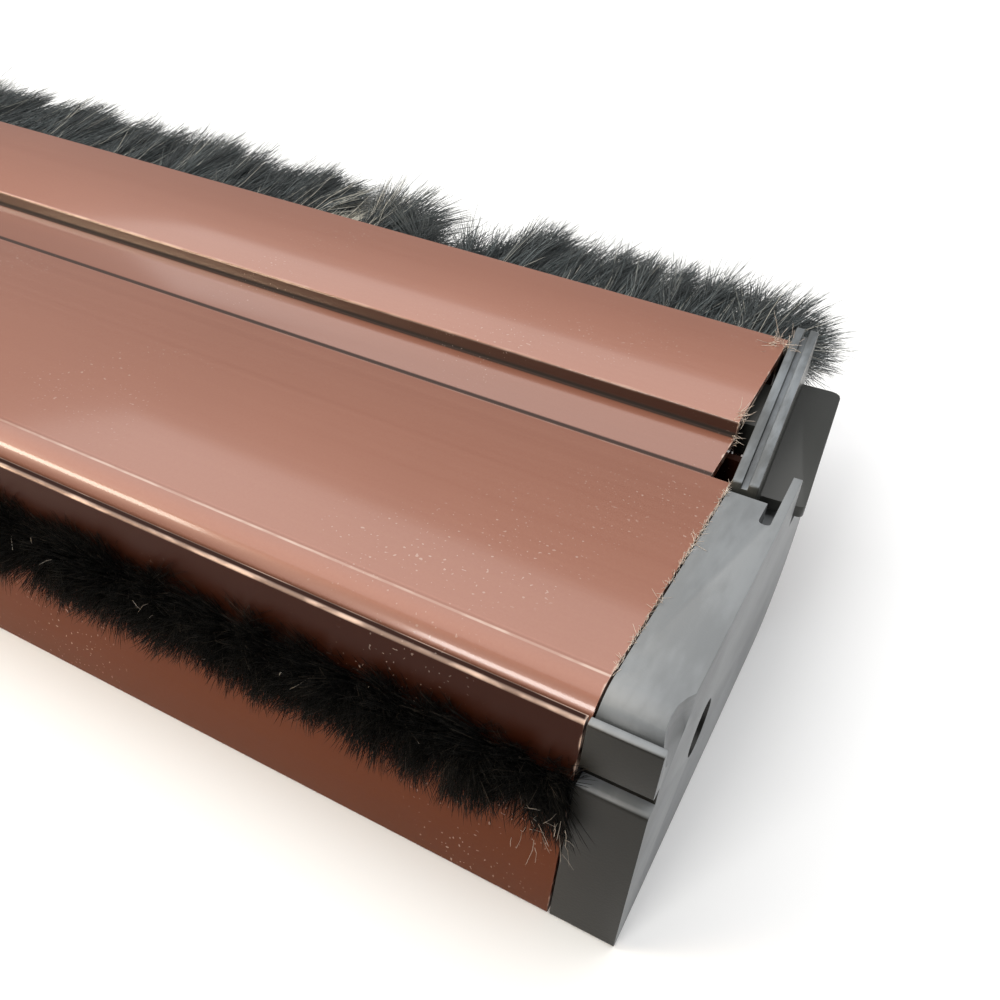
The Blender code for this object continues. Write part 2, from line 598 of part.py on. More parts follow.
def make_drive():
    """Rod, guides, cam blocks with roll pins, follower pins, return spring and collar."""
    start = -HALF + ROD_START
    hole_end = start + STEM_ENGAGEMENT + 2.0
    rod = [(0, hole_end), (STEM_RADIUS + GAP, hole_end), (STEM_RADIUS + GAP, start), (ROD_RADIUS, start),
           (ROD_RADIUS, ROD_END), (0, ROD_END)]
    rod_piece = turned("actuator_rod", list(reversed(rod)), False, (0, ROD_Y, ROD_Z), "X")
    centre = (ROD_Y, ROD_Z)
    for index, pin_x in enumerate(PIN_PLACES):
        cam_x = pin_x - TRAVEL / 2
        hole = ROLL_PIN_RADIUS + RUNNING
        pin_hole = [(0, CAM_PLATE_Z + 5), (hole, CAM_PLATE_Z + 5), (hole, 0), (0, 0)]
        pin_place = (cam_x - CAM_LENGTH / 2 + 5.0, ROD_Y, 0)
        plate_half = TRAVEL / 2 + PIN_RADIUS + GAP + CAM_WALL
        middle = PIN_REST_Y + TRAVEL / 2
        near = (pin_x, PIN_REST_Y)
        far = (pin_x - TRAVEL, PIN_REST_Y + TRAVEL)
        width = PIN_RADIUS + GAP
        slot = arc(near, width, -135, 45, 8) + arc(far, width, 45, 225, 8)
        cam_ends = (cam_x - CAM_LENGTH / 2, cam_x + CAM_LENGTH / 2)
        plate = rounded([(cam_ends[0], middle - plate_half, 2), (cam_ends[1], middle - plate_half, 2),
                         (cam_ends[1], middle + plate_half, 2), (cam_ends[0], middle + plate_half, 2)])
        cam = along_z(f"cam_block_{index + 1}", [plate, slot], CAM_PLATE_Z, CAM_PLATE_Z + CAM_PLATE_THICKNESS)
        hub_low = ROD_Y - HUB_HALF_WIDTH
        hub_high = ROD_Y + HUB_HALF_WIDTH
        hub = rounded([(hub_low, ROD_Z - HUB_BELOW_ROD, 1), (hub_high, ROD_Z - HUB_BELOW_ROD, 1),
                       (hub_high, CAM_PLATE_Z + 0.4), (hub_low, CAM_PLATE_Z + 0.4)])
        modify(cam, along_x(f"cam_hub_{index}", [hub, circle(centre, ROD_RADIUS + RUNNING)],
                            cam_ends[0] + 0.5, cam_ends[1] - 0.5), "UNION")
        modify(cam, turned(f"cam_pin_hole_{index}", pin_hole, False, pin_place, "Z", 16), "DIFFERENCE")
        add_piece(cam, zinc, actuator)
        modify(rod_piece, turned(f"rod_pin_hole_{index}", pin_hole, False, pin_place, "Z", 16), "DIFFERENCE")
        roll_top = CAM_PLATE_Z + CAM_PLATE_THICKNESS - 0.4
        roll = [(0, roll_top), (ROLL_PIN_RADIUS, roll_top), (ROLL_PIN_RADIUS, 5.0), (0, 5.0)]
        add_piece(turned(f"roll_pin_{index + 1}", roll, False, pin_place, "Z", 16), steel, actuator)
        follower = [(0, APRON_TOP - 0.1), (PIN_RADIUS, APRON_TOP - 0.1), (PIN_RADIUS, APRON_BOTTOM - GAP),
                    (PIN_RADIUS + PIN_HEAD, APRON_BOTTOM - GAP), (PIN_RADIUS + PIN_HEAD, APRON_BOTTOM - 2.4),
                    (PIN_RADIUS, APRON_BOTTOM - 2.4), (PIN_RADIUS, CAM_PLATE_Z + 0.8), (0, CAM_PLATE_Z + 0.8)]
        pin = turned(f"follower_pin_{index + 1}", follower, False, (pin_x, PIN_REST_Y, 0), "Z")
        add_piece(pin, steel, carriage)
    add_piece(rod_piece, steel, actuator)
    for index, x in enumerate(GUIDE_PLACES):
        block = rounded([
            (ROD_Y - RAIL_INSIDE + GAP, WALL + GAP), (ROD_Y - RAIL_INSIDE + GAP, RAIL_SEAT - GAP),
            (ROD_Y - RAIL_LIP + GAP, RAIL_SEAT - GAP), (ROD_Y - RAIL_LIP + GAP, ROD_Z + GUIDE_RISE, 3),
            (ROD_Y + RAIL_LIP - GAP, ROD_Z + GUIDE_RISE, 3), (ROD_Y + RAIL_LIP - GAP, RAIL_SEAT - GAP),
            (ROD_Y + RAIL_INSIDE - GAP, RAIL_SEAT - GAP), (ROD_Y + RAIL_INSIDE - GAP, WALL + GAP),
        ])
        guide = along_x(f"rod_guide_{index + 1}", [block, circle(centre, ROD_RADIUS + RUNNING)],
                        x - GUIDE_LENGTH / 2, x + GUIDE_LENGTH / 2)
        add_piece(guide, dark_plastic, frame)
    bore = ROD_RADIUS + RUNNING
    collar = [(bore, 0), (COLLAR_RADIUS, 0), (COLLAR_RADIUS, -COLLAR_THICKNESS), (bore, -COLLAR_THICKNESS)]
    add_piece(turned("spring_collar", collar, True, (COLLAR_X, ROD_Y, ROD_Z), "X"), steel, actuator)


def make_return_spring():
    """Round-wire compression spring on the rod, between the collar and the last guide."""
    curve = bpy.data.curves.new("return_spring", "CURVE")
    curve.dimensions = "3D"
    curve.bevel_depth = SPRING_WIRE * MM
    curve.bevel_resolution = 2
    curve.use_fill_caps = True
    per_turn = 16
    count = SPRING_TURNS * per_turn + 1
    spline = curve.splines.new("POLY")
    spline.points.add(count - 1)
    run = SPRING_LENGTH - 2 * SPRING_WIRE - 2 * GAP
    for index, point in enumerate(spline.points):
        angle = 2 * math.pi * index / per_turn
        x = SPRING_FIXED_X - SPRING_LENGTH + SPRING_WIRE + GAP + run * index / (count - 1)
        point.co = (x * MM, SPRING_RADIUS * math.cos(angle) * MM, SPRING_RADIUS * math.sin(angle) * MM, 1.0)
    source = bpy.data.objects.new("return_spring", curve)
    source.location = Vector((0, ROD_Y, ROD_Z)) * MM
    bpy.context.scene.collection.objects.link(source)
    add_piece(as_mesh(source, "return_spring"), steel, actuator)


def make_plunger():
    """Adjustable push button with a domed, slotted head, threaded stem and lock nut."""
    cap_face = -HALF - CAP_THICKNESS
    head_inner = cap_face - TRAVEL - 0.5
    head_outer = head_inner - PLUNGER_HEAD
    barrel_end = -HALF + ROD_START - BARREL_CLEARANCE
    stem_end = -HALF + ROD_START + STEM_ENGAGEMENT
    rim = PLUNGER_HEAD_RADIUS
    profile = [(0, stem_end), (STEM_RADIUS, stem_end), (STEM_RADIUS, barrel_end),
               (PLUNGER_RADIUS, barrel_end), (PLUNGER_RADIUS, head_inner), (rim, head_inner),
               (rim, head_outer + 1.6),
               (rim - 0.9, head_outer + 0.5), (rim - 3.1, head_outer), (0, head_outer)]
    centre = actuator.location - frame.location
    plunger = turned("plunger_button", profile, False, centre / MM, "X")
    slot = box_outline((ROD_Y - 3.4, ROD_Z - 0.6), (ROD_Y + 3.4, ROD_Z + 0.6))
    modify(plunger, along_x("plunger_slot", [slot], head_outer - 1.0, head_outer + 1.2), "DIFFERENCE")
    add_piece(plunger, cap_plastic, turning)
    nut_end = -HALF + ROD_START - GAP
    hexagon = arc((ROD_Y, ROD_Z), NUT_RADIUS, 0, 300, 5)
    nut = along_x("lock_nut", [hexagon, circle((ROD_Y, ROD_Z), STEM_RADIUS + GAP)], nut_end - NUT_THICKNESS,
                  nut_end)
    add_piece(nut, steel, actuator)


clear_scene()
parts = new_collection("door_sweep")
cutters = new_collection("cutters")
anodised = finish("brown_anodised_aluminium", (0.23, 0.105, 0.075), 0.38, 0.6)
cap_plastic = finish("black_cap_plastic", (0.03, 0.032, 0.032), 0.5, 0.0)
runner_plastic = finish("dark_grey_runner_plastic", (0.055, 0.057, 0.058), 0.42, 0.0)
dark_plastic = finish("black_guide_plastic", (0.03, 0.03, 0.03), 0.6, 0.0)
bristle = finish("black_bristle", (0.012, 0.014, 0.015), 0.8, 0.0)
steel = finish("zinc_plated_steel", (0.55, 0.55, 0.53), 0.35, 1.0)
zinc = finish("cast_zinc", (0.42, 0.43, 0.44), 0.5, 0.9)
frame = empty("sweep_frame", (0, -BACK_FACE_MIDDLE, 0))
carriage = empty("bar_carriage", (0, -BACK_FACE_MIDDLE, 0))
actuator = empty("actuator_axis", (0, ROD_Y - BACK_FACE_MIDDLE, ROD_Z))
turning = empty("plunger_axis", (0, ROD_Y - BACK_FACE_MIDDLE, ROD_Z))
make_housing_base()
make_top_cover()
make_drop_bar()
make_brush()
make_front_pile()
for end, side_sign in (("right", 1), ("left", -1)):
    make_end_cap(f"end_cap_{end}", side_sign)
    make_cap_screw(f"cap_screw_{end}", side_sign)
    make_end_runner(f"end_runner_{end}", side_sign)
make_drive()
make_return_spring()
make_plunger()
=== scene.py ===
"""Looks of the retracting brush door sweep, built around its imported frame.

+X runs along the door, +Y towards the floor under the door and +Z away from the door's face. The sweep lies
on its back face at z = 0, with its long brush pointing along +Y. Lengths are in metres.
"""

import json
import math

import bpy
import numpy as np
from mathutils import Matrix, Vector

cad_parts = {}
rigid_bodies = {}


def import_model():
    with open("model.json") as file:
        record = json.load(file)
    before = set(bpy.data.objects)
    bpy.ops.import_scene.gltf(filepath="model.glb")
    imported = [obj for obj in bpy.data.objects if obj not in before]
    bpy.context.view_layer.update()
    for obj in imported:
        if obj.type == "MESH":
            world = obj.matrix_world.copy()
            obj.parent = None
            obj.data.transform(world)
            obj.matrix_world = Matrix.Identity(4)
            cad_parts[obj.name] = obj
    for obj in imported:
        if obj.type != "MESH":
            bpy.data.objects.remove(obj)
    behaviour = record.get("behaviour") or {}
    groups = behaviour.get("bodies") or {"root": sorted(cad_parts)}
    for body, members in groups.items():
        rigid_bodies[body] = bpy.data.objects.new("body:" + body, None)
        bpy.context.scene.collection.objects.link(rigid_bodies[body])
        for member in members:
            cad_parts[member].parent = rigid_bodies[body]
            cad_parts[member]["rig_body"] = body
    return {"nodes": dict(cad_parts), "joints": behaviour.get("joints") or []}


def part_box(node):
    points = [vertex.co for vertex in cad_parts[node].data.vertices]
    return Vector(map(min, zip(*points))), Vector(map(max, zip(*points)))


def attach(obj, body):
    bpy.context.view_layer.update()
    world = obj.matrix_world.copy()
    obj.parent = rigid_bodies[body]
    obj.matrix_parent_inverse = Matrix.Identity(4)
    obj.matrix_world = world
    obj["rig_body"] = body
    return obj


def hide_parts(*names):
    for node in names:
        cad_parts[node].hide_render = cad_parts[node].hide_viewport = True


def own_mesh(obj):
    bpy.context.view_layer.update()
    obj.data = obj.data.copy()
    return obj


for leftover in list(bpy.data.objects):
    bpy.data.objects.remove(leftover, do_unlink=True)
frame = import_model()
nodes = frame["nodes"]
bodies = {name: node["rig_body"] for name, node in nodes.items()}
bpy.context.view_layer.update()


# Camera, floor and lights.
# The sweep lies on a plain pale floor under one large soft light overhead, two long soft ones in front that draw
# the line along its nose, and a weak warm one low down, with the camera over the housing's right-hand end.
bpy.ops.object.camera_add(location=(0.31538554, -0.10005390, 0.11219268),
                          rotation=(math.radians(54.03), math.radians(-3.319), math.radians(29.087)))
camera = bpy.context.object
camera.data.sensor_width = 36.0
camera.data.lens = 38.0423
camera.data.shift_x = 0.05553
camera.data.shift_y = -0.01110
camera.data.clip_start = 0.005
bpy.context.scene.camera = camera


def soft_light(name, place, aim, size, power, colour):
    """A rectangular studio light at place, turned towards aim."""
    turn = (Vector(aim) - Vector(place)).to_track_quat("-Z", "Y").to_euler()
    bpy.ops.object.light_add(type="AREA", location=place, rotation=turn)
    lamp = bpy.context.object
    lamp.name = name
    lamp.data.shape = "RECTANGLE"
    lamp.data.size, lamp.data.size_y = size
    lamp.data.energy = power
    lamp.data.color = colour


soft_light("left_strip", (-1.02, -0.56, 1.05), (-1.02, -0.02, 0.03), (1.05, 0.22), 13.0, (1.0, 0.97, 0.82))
soft_light("right_strip", (0.08, -0.77, 0.68), (0.08, -0.02, 0.03), (0.32, 0.18), 3.6, (1.0, 0.98, 0.94))
soft_light("ceiling_light", (-0.10, 0.70, 1.60), (-0.10, 0.65, 0.0), (3.2, 2.4), 45.0, (1.0, 0.99, 0.98))
soft_light("front_light", (0.00, -0.22, 0.05), (0.16, -0.03, 0.010), (0.14, 0.05), 0.9, (1.0, 0.74, 0.50))

bpy.context.scene.view_settings.view_transform = "Standard"
world = bpy.data.worlds.new("pale_studio")
world.use_nodes = True
world.node_tree.nodes["Background"].inputs["Color"].default_value = (0.95, 0.97, 1.0, 1.0)
world.node_tree.nodes["Background"].inputs["Strength"].default_value = 0.24
bpy.context.scene.world = world


class Channel:
    """One socket of a finish; arithmetic on it adds Math nodes."""

    def __init__(self, finish, socket):
        self.finish = finish
        self.socket = socket

    def maths(self, operation, first, second):
        return self.finish.node("ShaderNodeMath", {"operation": operation}, {0: first, 1: second})

    def __add__(self, other):
        return self.maths("ADD", self, other)

    def __sub__(self, other):
        return self.maths("SUBTRACT", self, other)

    def __rsub__(self, other):
        return self.maths("SUBTRACT", other, self)

    def __mul__(self, other):
        return self.maths("MULTIPLY", self, other)

    def __pow__(self, other):
        return self.maths("POWER", self, other)

    __radd__ = __add__
    __rmul__ = __mul__


class Finish:
    """A material with its Principled shader, and the few patterns that the sweep's finishes share."""

    def __init__(self, name, **sockets):
        self.material = bpy.data.materials.new(name)
        self.material.use_nodes = True
        self.tree = self.material.node_tree
        self.shader = self.tree.nodes["Principled BSDF"]
        self.set(**sockets)

    def connect(self, value, socket):
        if isinstance(value, Channel):
            self.tree.links.new(value.socket, socket)
        elif isinstance(value, tuple) and socket.type == "RGBA":
            socket.default_value = (*value, 1.0)
        else:
            socket.default_value = value

    def node(self, kind, settings, sockets, output=0):
        """Adds a node: its settings, then the values or links of its sockets. Returns one of its outputs."""
        added = self.tree.nodes.new(kind)
        for setting, value in settings.items():
            if setting == "stops":
                ramp = added.color_ramp.elements
                ramp[0].position, ramp[0].color = value[0][0], (*value[0][1], 1.0)
                ramp[1].position, ramp[1].color = value[-1][0], (*value[-1][1], 1.0)
                for place, colour in value[1:-1]:
                    ramp.new(place).color = (*colour, 1.0)
            else:
                setattr(added, setting, value)
        for name, value in sockets.items():
            self.connect(value, added.inputs[name])
        return Channel(self, added.outputs[output])

    def set(self, **sockets):
        """Shader sockets by name, with spaces written as underscores."""
        for name, value in sockets.items():
            self.connect(value, self.shader.inputs[name.replace("_", " ")])

    def place(self, stretch=(1.0, 1.0, 1.0)):
        """Object coordinates, in metres, multiplied by stretch."""
        here = self.node("ShaderNodeTexCoord", {}, {}, "Object")
        if stretch == (1.0, 1.0, 1.0):
            return here
        return self.node("ShaderNodeVectorMath", {"operation": "MULTIPLY"}, {0: here, 1: stretch})

    def axis(self, letter):
        return self.node("ShaderNodeSeparateXYZ", {}, {0: self.place()}, letter)

    def noise(self, scale, detail=2.0, stretch=(1.0, 1.0, 1.0), rough=0.5):
        return self.node("ShaderNodeTexNoise", {}, {"Vector": self.place(stretch), "Scale": scale,
                                                    "Detail": detail, "Roughness": rough})

    def rise(self, value, low, high):
        """0 where value is below low, 1 where it is above high, and smooth between them."""
        return self.node("ShaderNodeMapRange", {"interpolation_type": "SMOOTHSTEP"},
                         {"Value": value, "From Min": low, "From Max": high})

    def blend(self, share, first, second):
        """Colour first turning into colour second as share goes from 0 to 1."""
        return self.node("ShaderNodeMix", {"data_type": "RGBA"}, {0: share, 6: first, 7: second}, 2)

    def bump(self, height, depth, strength=1.0):
        """Feeds the shader's Normal from a height of 0 to 1 that stands for depth metres."""
        self.set(Normal=self.node("ShaderNodeBump", {}, {"Height": height, "Distance": depth,
                                                         "Strength": strength}))


bpy.ops.mesh.primitive_plane_add(size=8.0, location=(0.0, 0.0, -0.0002))
floor = bpy.context.object
floor.name = "floor"
pale = Finish("pale_floor", Roughness=0.85, Emission_Color=(1.0, 1.0, 1.0), Emission_Strength=0.10)
pale.set(Base_Color=pale.blend(pale.noise(3.0), (0.86, 0.86, 0.86), (0.9, 0.9, 0.9)))
floor.data.materials.append(pale.material)


# Housing tray.
# An extruded aluminium tray, powder coated chocolate brown and sawn to length: front wall with a lip along its
# top edge, pile channel, screw port and the flat back that is screwed to the door.
def eased_copy(node, name, smooth, edge=0.0):
    """The visible copy of a CAD solid: its triangles merged into faces, and its corners eased by edge."""
    bpy.ops.object.select_all(action="DESELECT")
    copy = bpy.data.objects.new(name, nodes[node].data.copy())
    bpy.context.scene.collection.objects.link(copy)
    bpy.context.view_layer.objects.active = copy
    copy.select_set(True)
    copy.data.materials.clear()
    bpy.ops.object.mode_set(mode="EDIT")
    bpy.ops.mesh.select_all(action="SELECT")
    bpy.ops.mesh.customdata_custom_splitnormals_clear()
    bpy.ops.mesh.remove_doubles(threshold=0.000002)
    bpy.ops.mesh.dissolve_limited(angle_limit=math.radians(0.4))
    bpy.ops.object.mode_set(mode="OBJECT")
    if edge:
        ease = copy.modifiers.new("eased_edges", "BEVEL")
        ease.width = edge
        ease.segments = 2
        ease.limit_method = "ANGLE"
        ease.angle_limit = math.radians(35)
        ease.harden_normals = False
        bpy.ops.object.modifier_apply(modifier=ease.name)
    bpy.ops.object.shade_smooth_by_angle(angle=math.radians(smooth))
    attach(copy, bodies[node])
    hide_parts(node)
    return copy


def brown_aluminium(name, ridges, sawn_end, shade_tint=(1.0, 1.0, 1.0), gloss=0.6, creases=(), foot=None, riser_shade=None,
                    shadow_lines=()):
    """Brown coated extrusion: orange peel, faint die lines along X, dust, and bare metal along worn ridges.

    ridges are (y, z, radius, share) of edges given a pale line, partly painted edge highlight and partly wear from
    rubbing, and creases are y of fine scored lines. sawn_end is x at the sawn end, where the coat is chipped. The
    colour is multiplied by shade_tint, which on the tray is painted shade. Below foot, (z, colour), that colour
    takes
    its place: painted warm bounce light on the tray's lower front wall, a warmer hue on the bar's low strip.
    riser_shade takes its place on faces that look along -Y, as painted shade, and shadow_lines is y of lines on
    the low strip painted near black as shadow and made duller.
    """
    coat = Finish(name, Metallic=0.12, Specular_IOR_Level=gloss, Coat_Weight=gloss, Coat_Roughness=0.11)
    brown = coat.blend(coat.noise(26.0, 3.0), (0.250, 0.088, 0.050), (0.304, 0.111, 0.066))
    die_lines = coat.noise(900.0, 2.0, stretch=(0.006, 1.0, 1.0))
    grain = coat.noise(2600.0, 1.0)
    y, z = coat.axis("Y"), coat.axis("Z")
    # The colour factor starts as a given factor for the whole coat, which is painted shade on the tray.
    hue_and_painted_light = shade_tint
    # Low down, below a given height, the factor is a given colour: painted warm bounce light from below on the
    # tray's lower front wall, and a warmer hue on the bar's low strip.
    if foot:
        hue_and_painted_light = coat.blend(coat.rise(z, foot[0] - 0.0015, foot[0] + 0.0015), foot[1], shade_tint)
    # Faces that look along -Y take a given dark factor of their own: painted shade, as they face away from the
    # lights.
    if riser_shade:
        facing = coat.node("ShaderNodeNewGeometry", {}, {}, "Normal")
        forward = coat.node("ShaderNodeSeparateXYZ", {}, {0: facing}, "Y") * -1.0
        hue_and_painted_light = coat.blend(coat.rise(forward, 0.75, 0.95), hue_and_painted_light, riser_shade)
    brown = coat.blend((die_lines + grain) * 0.16, brown, (0.40, 0.20, 0.13))
    colour = coat.node("ShaderNodeVectorMath", {"operation": "MULTIPLY"}, {0: brown, 1: hue_and_painted_light})
    dulled = 0.0
    # Lines at given y on the low strip are painted near black as shadow, just behind the cover's rear edge and at
    # the foot of the step, and are made duller.
    for shadow_line_y in shadow_lines:
        off = coat.node("ShaderNodeMath", {"operation": "ABSOLUTE"}, {0: y - shadow_line_y})
        near = (1.0 - coat.rise(off, 0.00025, 0.00075)) * (1.0 - coat.rise(z, STEP_Z - 0.0022, STEP_Z - 0.0018))
        colour = coat.blend(near * 0.9, colour, (0.012, 0.007, 0.005))
        dulled = dulled + near
    dust = coat.rise(coat.noise(2300.0, 0.0), 0.76, 0.80) * coat.rise(coat.noise(30.0, 2.0), 0.52, 0.66)
    colour = coat.blend(dust * 0.4, colour, (0.62, 0.50, 0.44))
    nick = coat.noise(420.0, 3.0, stretch=(0.35, 1.0, 1.0))
    highlight_and_wear = 0.0
    # Pale lines along the ridges: partly painted edge highlights and partly wear from rubbing, broken up by nicks.
    for ridge_y, ridge_z, radius, share in ridges:
        away = ((y - ridge_y) ** 2.0 + (z - ridge_z) ** 2.0) ** 0.5
        highlight_and_wear_share = (0.35 + coat.rise(nick, 0.45, 0.65) * 0.65) * share
        highlight_and_wear = highlight_and_wear + (1.0 - coat.rise(away, radius * 0.35, radius)) * highlight_and_wear_share
    end = coat.node("ShaderNodeMath", {"operation": "ABSOLUTE"}, {0: coat.axis("X")})
    chipped = coat.rise(end + nick * 0.0012, sawn_end + 0.00050, sawn_end + 0.00080)
    # The pale metal colour serves both the chipped sawn end and the painted edge highlights along the ridges.
    bare_and_highlight = coat.node("ShaderNodeMath", {"operation": "MINIMUM"}, {0: highlight_and_wear + chipped * 0.8, 1: 1.0})
    coat.set(Base_Color=coat.blend(bare_and_highlight, colour, (0.60, 0.44, 0.36)),
             Roughness=0.33 + die_lines * 0.10 + dust * 0.3 + dulled * 0.4)
    if shadow_lines:
        coat.set(Coat_Weight=gloss - dulled * gloss)
    height = grain * 0.5 + die_lines * 0.5
    for crease_y in creases:
        off = coat.node("ShaderNodeMath", {"operation": "ABSOLUTE"}, {0: y - crease_y})
        height = height + coat.rise(off, 0.0, 0.0004) * 4.0
    coat.bump(height, 0.00002, 0.35)
    return coat.material


tray = eased_copy("housing_base", "housing_tray", 30)
tray_low, tray_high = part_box("housing_base")
LIP_WIDTH = 0.0013
# Below this height the tray's front wall is painted with warm bounce light from below.
LOWER_WALL_TOP = 0.0172
# The tray's coat is darkened all over as painted shade, mostly for its front walls, which face away from the
# lights.
tray.data.materials.append(brown_aluminium(
    "brown_aluminium_tray",
    # The lip's two edges carry pale lines, painted edge highlights with some wear from rubbing.
    [(tray_low.y, tray_high.z, 0.0005, 1.0), (tray_low.y + LIP_WIDTH, tray_high.z, 0.0004, 1.0)],
    tray_high.x, shade_tint=(0.08, 0.05, 0.035), gloss=0.06, foot=(LOWER_WALL_TOP, (0.29, 0.19, 0.085))))


# Nose cover.
# A second brown extrusion that snaps over the tray: its rounded nose stands behind the lip, and its wide top
# panel slopes gently down to a thin edge over the drop bar.
cover = eased_copy("top_cover", "nose_cover", 30)
cover_low, cover_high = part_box("top_cover")
CREASE_Y = cover_low.y + 0.0052
COVER_EDGE_Z = cover_high.z - 0.0020
# The cover's rear edge and its nose crease carry pale lines, painted edge highlights with some wear from rubbing.
cover.data.materials.append(brown_aluminium(
    "brown_aluminium_cover",
    [(cover_high.y, COVER_EDGE_Z, 0.0005, 0.8), (CREASE_Y, cover_high.z, 0.00028, 0.8)],
    cover_high.x, creases=(CREASE_Y + 0.0006,)))


# Drop bar.
# The sliding extrusion behind the cover: a low strip that runs in under it, a step, and the raised rear panel
# whose channel grips the long brush. Its step edge and rear edge carry pale lines, painted edge highlights with
# some wear from rubbing; its faces that look along -Y are darkened as painted shade, and its low strip has lines
# of painted shadow just behind the cover's rear edge and at the foot of the step.
bar = eased_copy("drop_bar", "sliding_bar", 30)
bar_low, bar_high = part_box("drop_bar")
REAR_PANEL_DEPTH = 0.0276
REAR_PANEL_RISE = 0.00133
STEP_Y = bar_high.y - REAR_PANEL_DEPTH
STEP_Z = bar_high.z - REAR_PANEL_RISE
bar.data.materials.append(brown_aluminium(
    "brown_aluminium_bar",
    [(STEP_Y, STEP_Z, 0.0005, 0.35), (bar_high.y, bar_high.z, 0.0005, 0.5)],
    bar_high.x, foot=(STEP_Z - 0.0013, (0.80, 0.74, 0.68)), riser_shade=(0.12, 0.09, 0.07),
    shadow_lines=(cover_high.y + 0.0023, STEP_Y)))


# Long brush.
# Thousands of dark nylon filaments gripped in the bar's rear channel. They stand about 26 mm proud and are
# ruffled: tufts of uneven length, a matted hollow, a bleached sparse patch, and ends that fan out.
def filaments(name, root, heading, bend, thickness, tone):
    """One mesh of closed, three-sided, tapering filaments.

    root, heading and bend are one row of x, y, z for each filament: it runs along heading and strays by bend.
    The UV map holds the share of its length in U and its tone in V.
    """
    count = len(root)
    shares = (0.0, 0.45, 0.90, 1.0)
    across = np.cross(heading, bend + np.array((1e-5, 2e-5, 3e-5)))
    across /= np.linalg.norm(across, axis=1)[:, None]
    upright = np.cross(heading, across)
    upright /= np.linalg.norm(upright, axis=1)[:, None]
    points = np.zeros((count, 10, 3))
    for ring, share in enumerate(shares[:3]):
        centre = root + heading * share + bend * share ** 2
        radius = (thickness * (1.0 - 0.3 * share))[:, None]
        for corner in range(3):
            angle = 2 * math.pi * corner / 3
            points[:, ring * 3 + corner] = centre + radius * (across * math.cos(angle) + upright * math.sin(angle))
    points[:, 9] = root + heading + bend
    quads = [(ring * 3 + corner, ring * 3 + (corner + 1) % 3, ring * 3 + 3 + (corner + 1) % 3,
              ring * 3 + 3 + corner) for ring in range(2) for corner in range(3)]
    tips = [(6, 7, 9), (7, 8, 9), (8, 6, 9), (2, 1, 0)]
    first = (np.arange(count) * 10)[:, None, None]
    quad_loops = (np.array(quads)[None] + first).reshape(count, -1)
    tip_loops = (np.array(tips)[None] + first).reshape(count, -1)
    loops = np.concatenate([quad_loops, tip_loops], axis=1).reshape(-1)
    sizes = np.tile(np.array([4] * len(quads) + [3] * len(tips)), count)
    mesh = bpy.data.meshes.new(name)
    mesh.vertices.add(count * 10)
    mesh.vertices.foreach_set("co", points.astype(np.float32).ravel())
    mesh.loops.add(len(loops))
    mesh.loops.foreach_set("vertex_index", loops.astype(np.int32))
    mesh.polygons.add(len(sizes))
    mesh.polygons.foreach_set("loop_start", np.concatenate([[0], np.cumsum(sizes)[:-1]]).astype(np.int32))
    mesh.update(calc_edges=True)
    mesh.validate()
    along = np.array([shares[min(point // 3, 3)] for point in range(10)])
    strand = loops // 10
    layout = mesh.uv_layers.new(name="strand")
    layout.data.foreach_set("uv", np.stack([along[loops % 10], tone[strand]], axis=1).astype(np.float32).ravel())
    mesh.shade_smooth()
    piece = bpy.data.objects.new(name, mesh)
    bpy.context.scene.collection.objects.link(piece)
    return piece


def ripple(x, rng, waves, shortest, longest):
    """A smooth random wave along x, of about unit height."""
    total = np.zeros_like(x)
    for _ in range(waves):
        length = math.exp(rng.uniform(math.log(shortest), math.log(longest)))
        total += np.sin(2 * math.pi * (x / length + rng.random()))
    return total / math.sqrt(waves / 2)


def tufted(x, depth, shape, pitch, count=4000):
    """A random vector for each filament that is the same for all filaments of its tuft, pitch metres wide."""
    drawn = shape.normal(0.0, 1.0, (count, 3))
    lean = x + depth * pitch * 0.8 + 0.3
    return drawn[np.floor(lean / pitch).astype(int) * 2 % count + (depth > 0)]


def hump(x, middle, width):
    """1 at middle, falling to nothing a few widths away."""
    return np.exp(-((x - middle) / width) ** 2)


def filament_finish(name, dark, slate, pale_tone, tip, rough=0.38, shine=0.6):
    """Nylon that is near black, slate grey or pale by each filament's own tone, with a duller tip."""
    nylon = Finish(name, Roughness=rough, Specular_IOR_Level=shine)
    strand = nylon.node("ShaderNodeUVMap", {"uv_map": "strand"}, {})
    along = nylon.node("ShaderNodeSeparateXYZ", {}, {0: strand}, "X")
    tone = nylon.node("ShaderNodeSeparateXYZ", {}, {0: strand}, "Y")
    colour = nylon.node("ShaderNodeValToRGB", {"stops": [
        (0.0, dark), (0.55, dark), (0.80, slate), (0.93, slate), (1.0, pale_tone)]}, {0: tone})
    nylon.set(Base_Color=nylon.blend(nylon.rise(along, 0.55, 1.0) * 0.5, colour, tip))
    return nylon.material


# The brush's pale filaments are a random tone that also stands for painted glints.
bristle_black = filament_finish("black_brush_nylon", (0.024, 0.031, 0.032), (0.125, 0.150, 0.154),
                                (0.66, 0.63, 0.54), (0.100, 0.110, 0.108))
backing_low, backing_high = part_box("brush_backing")
BRUSH_Z = (backing_low.z + backing_high.z) / 2
BRUSH_MOUTH = 0.0021
BRUSH_ROOT = 0.0012
BRUSH_REACH = 0.0262
BRUSH_FAN = 0.010
NOTCH_X, NOTCH_WIDTH = 0.226, 0.0085
SPARSE_X, SPARSE_WIDTH = 0.2035, 0.0055
TALL_X, TALL_WIDTH = 0.212, 0.0035


